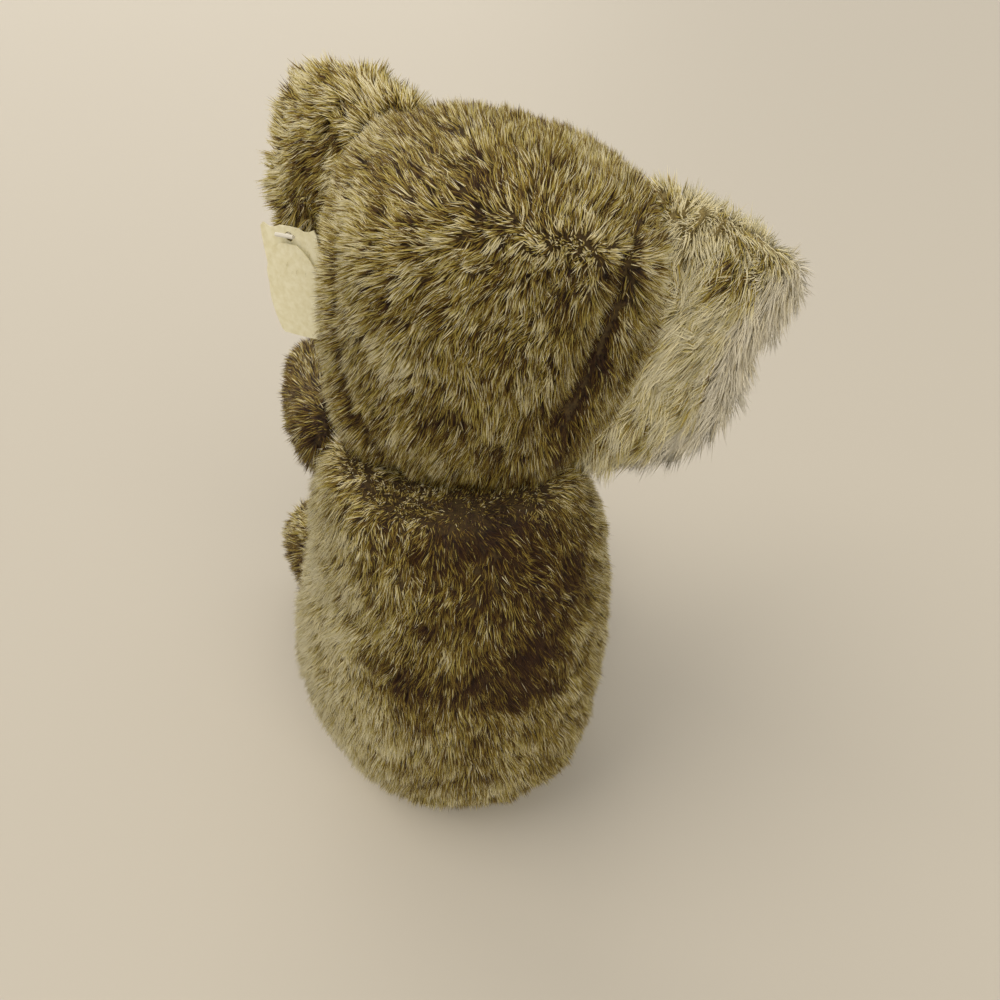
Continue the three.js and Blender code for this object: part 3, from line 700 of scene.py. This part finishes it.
def at_seam(at, width):
    """1 on the deep right seam at the back of the head, less on the left one, and 0 past about the width."""
    local = in_head(at)
    right = local[:, 0] < 0
    depth = np.where(right, 1.0, 0.4) * smooth(local[:, 1], -16, -8) * (1 - smooth(at[:, 2], 0.24, 0.256))
    depth = depth * (1 - 0.8 * right * (1 - smooth(at[:, 2], 0.188, 0.206)))
    width = width * np.where(right, 1.5 - 0.8 * smooth(at[:, 2], 0.2, 0.245), 1.0)
    return np.exp(-(((past_seam(at) + 1.5 * right) / width) ** 2)) * depth


def beside_whorl(at):
    """Places across and over the head from the whorl, in millimetres."""
    away = (at - whorl) / MM
    return away @ across, away @ over


def at_parting(at):
    """1 on the parting that runs from the whorl to the right ear, falling off a few millimetres from it."""
    aside, above = beside_whorl(at)
    return np.exp(-((above / 3.5) ** 2)) * smooth(aside, -6, 10) * (in_head(at)[:, 1] > 0)


# %% Sew the seams in
def sewn_head(at, up):
    """Drawn in along the seams, and fuller at the lower left, where the head rests on the shoulder."""
    return at + up * ((5 * spot(at, (34, 6, 188), 30) - 6 * at_seam(at, 3.6)) * MM)[:, None]


reshape(skins["head"], sewn_head)


# %% Head pile
def head_lay(at, up):
    """Up over the head above the parting, down below it, to the left between; on the face from the nose."""
    local = in_head(at)
    aside, above = beside_whorl(at)
    reach = -4 - 10 * smooth(-aside, -4, 16) - 0.33 * np.abs(above)
    away = (reach[:, None] * across + above[:, None] * over) / 5
    away = away / np.maximum(np.linalg.norm(away, axis=1, keepdims=True), 1)
    outwards = np.sign(local[:, 0])[:, None] * head_axes[:, 0]
    away = away + outwards * (at_seam(at, 6) * np.sign(past_seam(at)) * 0.6)[:, None]
    front = smooth(-local[:, 1], 14, 26)[:, None]
    return away * (1 - front) + unit(at - nose_tip) * front


def head_length(at):
    """Short on the face and shorter at the nose, and short along the seams."""
    local = in_head(at)
    face = smooth(-local[:, 1], 18, 40)
    near_nose = np.exp(-((np.linalg.norm(at - nose_tip, axis=1) / (26 * MM)) ** 2))
    full = 7 + 0.8 * wobble(at, 16, 21)
    return full * (1 - 0.5 * at_seam(at, 3.2)) * (1 - 0.35 * face) * (1 - 0.45 * near_nose)


def head_lift(at):
    """Steeper at the parting, so that the backing stays covered."""
    return 42 + 12 * np.exp(-((beside_whorl(at)[1] / 5) ** 2)) * (in_head(at)[:, 1] > 0)


# Spots of lighter and darker pile: partly its own tone, partly painted light on the left and painted shade
# over the top and low down.
HEAD_TONE_AND_PAINTED_LIGHT_SPOTS = (
    ((16, 17, 269), 26, -0.24),
    ((3, 31, 266), 12, -0.14),
    ((-26, 46, 244), 16, -0.22),
    ((13, 38, 208), 11, -0.3),
    ((-4, 42, 194), 12, -0.3),
    ((29, 18, 187), 10, -0.25),
    ((-31, 38, 188), 14, -0.3),
    ((-41, 21, 269), 26, 0.24),
    ((29, 9, 257), 22, 0.16),
    ((23, 31, 222), 26, 0.16),
)


def head_shade(at):
    """Painted shade in the seam grooves, over the top and low on the head, lighter at the parting, and paler
    at the left: partly straw pile, partly painted light on the side the window lights.
    """
    base = 0.52 + 0.1 * wobble(at, 32, 22) + 0.1 * wobble(at, 12, 23) - 0.08 * blotches(at, 14, 25)
    # Painted shade in the seam grooves and over the top of the head; the parting is made lighter.
    base -= 0.9 * at_seam(at, 3.2) - 0.22 * at_parting(at) + 0.06 * smooth(beside_whorl(at)[1], 6, 24)
    # The paler left side is partly the pile's own straw, partly painted light on the side the window lights.
    base += 0.24 * smooth(in_head(at)[:, 0], 26, 42) + patches(at, HEAD_TONE_AND_PAINTED_LIGHT_SPOTS)
    # Painted shade low on the head, where it sits on the shoulders.
    return base - 0.1 * (1 - smooth(at[:, 2], 0.175, 0.2))


def is_bare(at):
    """True under the eyes and the nose."""
    covered = np.zeros(len(at), bool)
    for name, reach in (("eye_left", 6.5), ("eye_right", 6.5), ("nose", 11)):
        low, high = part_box(name)
        covered |= np.linalg.norm(at - np.array((low + high) / 2), axis=1) < reach * MM
    return covered


def on_muzzle(at):
    return np.linalg.norm(at - muzzle_middle, axis=1) < MUZZLE_RADIUS * MM


def on_rear(at):
    return (in_head(at)[:, 1] > FACE_EDGE) & (at[:, 2] > NECK_TOP * MM)


def on_panel(at):
    return on_rear(at) & (past_seam(at) < 0)


def on_face(at):
    return (in_head(at)[:, 1] <= FACE_EDGE) & (at[:, 2] > NECK_TOP * MM) & ~is_bare(at)


head_patches = (
    ("head_back_pile_left", 31, 3.85, lambda at: on_panel(at) & (in_head(at)[:, 0] > 0)),
    ("head_back_pile_right", 32, 3.85, lambda at: on_panel(at) & (in_head(at)[:, 0] <= 0)),
    ("head_side_pile", 33, 3.2, lambda at: on_rear(at) & (past_seam(at) >= 0)),
    ("face_pile", 34, 2.6, lambda at: on_face(at) & ~on_muzzle(at)),
)
rear = (head_lay, head_length, head_shade, head_lift)
for name, seed, per_mm2, within in head_patches:
    grow(name, "head", "back_pile", brown_pile, seed, per_mm2, within, *rear)


# %% Muzzle pile
def on_snout(at):
    return on_face(at) & on_muzzle(at)


def muzzle_length(at):
    return head_length(at) * 0.9


def muzzle_shade(at):
    return 0.5 + 0.15 * wobble(at, 18, 24)


straw_where(skins["head"], lambda at, up: on_muzzle(at))
muzzle = (head_lay, muzzle_length, muzzle_shade)
grow("muzzle_pile", "head", "pale_pile", cream_pile, 35, 3.6, on_snout, *muzzle, lift=32)

# %% [markdown]
# ## Ear pile
# Each ear has brown pile behind and long white pile in front, and its strands bend once. The white strands
# reach past the rim. They make the band along the right ear's outer and lower edge, where the toy shows
# most of them, while the left ear keeps a straw-coloured rim. Each solid ear is an ellipse, and the reach
# says how far the real ear goes out at each angle round its middle, as a share of that: 0 degrees is
# straight out, 90 is up.

# %% Ear pile
EAR_MIDDLE_OUT, EAR_HALF_WIDTH, EAR_HALF_HEIGHT = 21.4, 45, 48
TAG_TOP = ((40, -55, 243), 16)
EAR_REACH = {
    "left": (
        [-180, -120, -90, -60, -20, 8, 30, 50, 70, 90, 110, 128, 145, 180],
        [1.0, 1.0, 1.08, 1.06, 0.95, 0.93, 1.0, 1.08, 1.1, 1.06, 1.03, 0.95, 0.95, 1.0],
    ),
    "right": (
        [-180, -100, -75, -60, -50, -33, -20, -5, 6, 16, 27, 38, 50, 58, 70, 85, 180],
        [1.0, 1.0, 1.04, 1.1, 1.14, 1.12, 1.04, 0.92, 0.82, 0.75, 0.76, 0.88, 1.06, 1.1, 1.05, 1.0, 1.0],
    ),
}


def ear_pile(side, comb, bare, back_tone, rim_tone, band_tone):
    """Back and lining pile of one ear. Places are measured outwards, back and up in the ear's own frame."""
    sign = 1 if side == "left" else -1
    inverse = np.array(ear_frames[side].inverted())
    axes = np.array(ear_frames[side])[:3, :3]

    def local(at):
        return ((at @ inverse[:3, :3].T + inverse[:3, 3]) / MM * np.array([sign, 1, 1])).T

    def around(at):
        """The angle round the ear's middle, and the distance from it as a share of the solid ear's."""
        out, _, height = local(at)
        outwards, upwards = (out - EAR_MIDDLE_OUT) / EAR_HALF_WIDTH, height / EAR_HALF_HEIGHT
        return np.degrees(np.arctan2(upwards, outwards)), np.hypot(outwards, upwards)

    def reach(at):
        return np.interp(around(at)[0], *EAR_REACH[side])

    def rim(at):
        """0 at the middle of the ear, 1 at its edge."""
        return around(at)[1] / reach(at)

    def band(at):
        """1 along the outer and lower edge, where the white lining is rolled to the back of the right ear."""
        angle = around(at)[0]
        return smooth(angle, -70, -48) * (1 - smooth(angle, 56, 70)) * (side == "right")

    def rolled(at, up):
        """The rolled edge gives the right ear a pointed tip, a straight outer side and a lower lobe."""
        out, back, height = local(at)
        stretch = 1 + (reach(at) - 1) * smooth(around(at)[1], 0.2, 1.0)
        out = EAR_MIDDLE_OUT + (out - EAR_MIDDLE_OUT) * stretch
        moved = np.stack([sign * out, back, height * stretch], axis=1) * MM
        return moved @ axes.T + np.array(ear_frames[side].translation)

    def behind(at):
        """True where the pile is brown: behind the curve of the rim, less the white band."""
        out, back, _ = local(at)
        brown = (back > -7 * (out / 67) ** 2) & (rim(at) < 0.97 - 0.36 * band(at))
        return brown | ((rim(at) > 0.9) & (band(at) < 0.4))

    def lay(at, up):
        out, _, height = local(at)
        way = np.stack([sign * (0.35 + (out - 10) / 45), np.zeros(len(at)), height / 45], axis=1)
        edge = (smooth(rim(at), 0.65, 1.0) * (1 - 0.5 * band(at)))[:, None]
        over_tag = spot(at, *TAG_TOP)[:, None] * np.array([0.2, 2.0, -0.8])
        return unit(way) @ axes.T * (0.2 + 0.8 * edge) + np.array(comb) * (1 - 0.5 * edge) + over_tag

    def length(at):
        edge = smooth(rim(at), 0.6, 0.95) * (1 - 0.8 * band(at))
        base = 8.0 if side == "left" else 9.5
        return base + 2.0 * edge + 9.0 * spot(at, *TAG_TOP) + 1.0 * wobble(at, 12, 41)

    def back_shade(at):
        edge = 0.12 * smooth(rim(at), 0.5, 1.0) - 0.55 * spot(at, (-91, 24, 236), 13)
        mottled = 0.28 * blotches(at, 13, 45) * (1 - smooth(rim(at), 0.6, 0.95)) * (side == "left")
        return back_tone + edge - mottled + 0.14 * wobble(at, 20, 42) + 0.1 * wobble(at, 8, 43)

    def rim_shade(at):
        return rim_tone + (band_tone - rim_tone) * band(at) + 0.1 * wobble(at, 15, 44)

    body = "ear_" + side
    reshape(skins[body], rolled)
    fine = {"lift": 36, "tuft": 3.0, "mess": 0.5, "steps": 2, "width": 0.4, "bare": bare}
    patches_of_ear = (
        ("_back_pile", "back_pile", brown_pile, 50, 3.4, behind, back_shade),
        ("_lining_pile", "ear_lining", cream_pile, 53, 2.5, lambda at: ~behind(at), rim_shade),
    )
    for part, slot, finish, seed, per_mm2, within, shade in patches_of_ear:
        grow(body + part, body, slot, finish, seed + sign, per_mm2, within, lay, length, shade, **fine)


ear_pile("left", (0, 0, -0.4), 0.8, 0.58, 0.45, 0.45)
# The right ear's back gets the palest tone: partly its own straw pile, partly painted light through and around
# the ear.
ear_pile("right", (1.6, 0.28, -0.75), 0.5, 1.05, 0.5, 1.0)

# %% [markdown]
# ## Arm and leg pile
# The limbs are brushed from the body towards the paws and down over the paws' ends. They are paler towards
# the paws, and the pile underneath lies flat on the table.

# %% Limb pile
def limb_pile(limb, side):
    body = limb + "_" + side
    sole_depth = 6 if limb == "leg" else 0
    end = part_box(body)[0].y + sole_depth * MM

    def lay(at, up):
        low = (1 - smooth(at[:, 2], 6 * MM, 20 * MM))[:, None]
        way = np.tile(np.array([0, -1.0, -0.35]), (len(at), 1))
        rear = smooth(at[:, 1], -60 * MM, -30 * MM)[:, None] if limb == "arm" else 0
        paw = smooth(-up[:, 1], 0.3, 0.8)[:, None]
        way = way * (1 - rear) + np.array([0, 0.3, -1]) * rear
        way = way * (1 - paw) + np.array([0, -0.2, -1.2]) * paw
        return way + unit(up * np.array([1, 1, 0.01])) * 0.8 * low

    def within(at):
        return (at[:, 1] > end) & (at[:, 2] > 2.5 * MM)

    def length(at):
        return 7.5 + 0.8 * wobble(at, 14, 64)

    def shade(at):
        paler = 0.25 * smooth(-at[:, 1], 70 * MM, 110 * MM)
        return 0.2 + paler + 0.15 * wobble(at, 26, 61) + 0.1 * wobble(at, 10, 62)

    name, seed = body + "_pile", 63 + len(body)
    density = 2.0 if limb == "arm" else 1.2
    grow(name, body, "back_pile", brown_pile, seed, density, within, lay, length, shade, width=0.8)


for limb in ("arm", "leg"):
    for side in ("left", "right"):
        limb_pile(limb, side)

# %% [markdown]
# ## Eyes and nose
# The eyes and nose are moulded acrylic buttons, near black and glossy, so each holds one small bright
# highlight. Each is a smoothed copy of its solid, swelled a little to make up for the smoothing, so it sits
# where its shank goes through the cloth.

# %% Buttons
black, tree, shader = material_named("moulded_black_acrylic")
shader.inputs["Base Color"].default_value = colour("#0b0908")
shader.inputs["Roughness"].default_value = 0.12
shader.inputs["IOR"].default_value = 1.49
for name, voxel in (("eye_left", 0.5), ("eye_right", 0.5), ("nose", 0.8)):
    piece = skin_from(name + "_button", [name], voxel, -0.6, 45)
    piece.data.materials.append(black)
    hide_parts(name)
    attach(piece, "head")

# %% [markdown]
# ## Soles, tag and the hidden rigid pieces
# The soles are short-nap velour, matt and flecked, with a pale sheen seen edge on. The tag is satin-coated
# card, left plain: it is evenly bright, with a faint cloud of fibres. The washers and the pin are moulded
# nylon, milky white with a soft shine. Flecks and fibres are drawn about 1.5 and 2.5 mm apart, which is
# coarser than the real ones, so that they show.

# %% Soles
nap, tree, shader = material_named("short_nap_velour")
place = add(tree, "ShaderNodeTexCoord").outputs["Object"]
fleck = add(tree, "ShaderNodeTexNoise", {"Vector": place, "Scale": 0.7 / MM, "Detail": 4.0}).outputs["Fac"]
tree.links.new(ramp(tree, fleck, [(0.3, "#6f5f3f"), (0.7, "#9d8c66")]), shader.inputs["Base Color"])
bump = add(tree, "ShaderNodeBump", {"Height": fleck, "Strength": 0.5, "Distance": 0.4 * MM})
tree.links.new(bump.outputs["Normal"], shader.inputs["Normal"])
shader.inputs["Roughness"].default_value = 0.9
shader.inputs["Sheen Weight"].default_value = 0.4
for side in ("left", "right"):
    sole = skin_from("sole_" + side + "_pad", ["sole_" + side], 1.2, 0.0, 4)
    sole.data.materials.append(nap)
    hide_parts("sole_" + side)
    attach(sole, "leg_" + side)

# %% Card and plastic
card, tree, shader = material_named("satin_coated_card")
place = add(tree, "ShaderNodeTexCoord").outputs["Object"]
fibre = add(tree, "ShaderNodeTexNoise", {"Vector": place, "Scale": 0.4 / MM, "Detail": 4.0}).outputs["Fac"]
tree.links.new(ramp(tree, fibre, [(0.35, "#dfd9b6"), (0.65, "#ebe7cc")]), shader.inputs["Base Color"])
shader.inputs["Roughness"].default_value = 0.45
nylon, tree, shader = material_named("moulded_natural_nylon")
shader.inputs["Base Color"].default_value = colour("#dedbd2")
shader.inputs["Roughness"].default_value = 0.35
for name, finish in (
    ("tag_back_leaf", card),
    ("tag_front_leaf", card),
    ("tag_pin", nylon),
    ("nose_washer", nylon),
    ("eye_washer_left", nylon),
    ("eye_washer_right", nylon),
):
    nodes[name].data.materials.clear()
    nodes[name].data.materials.append(finish)
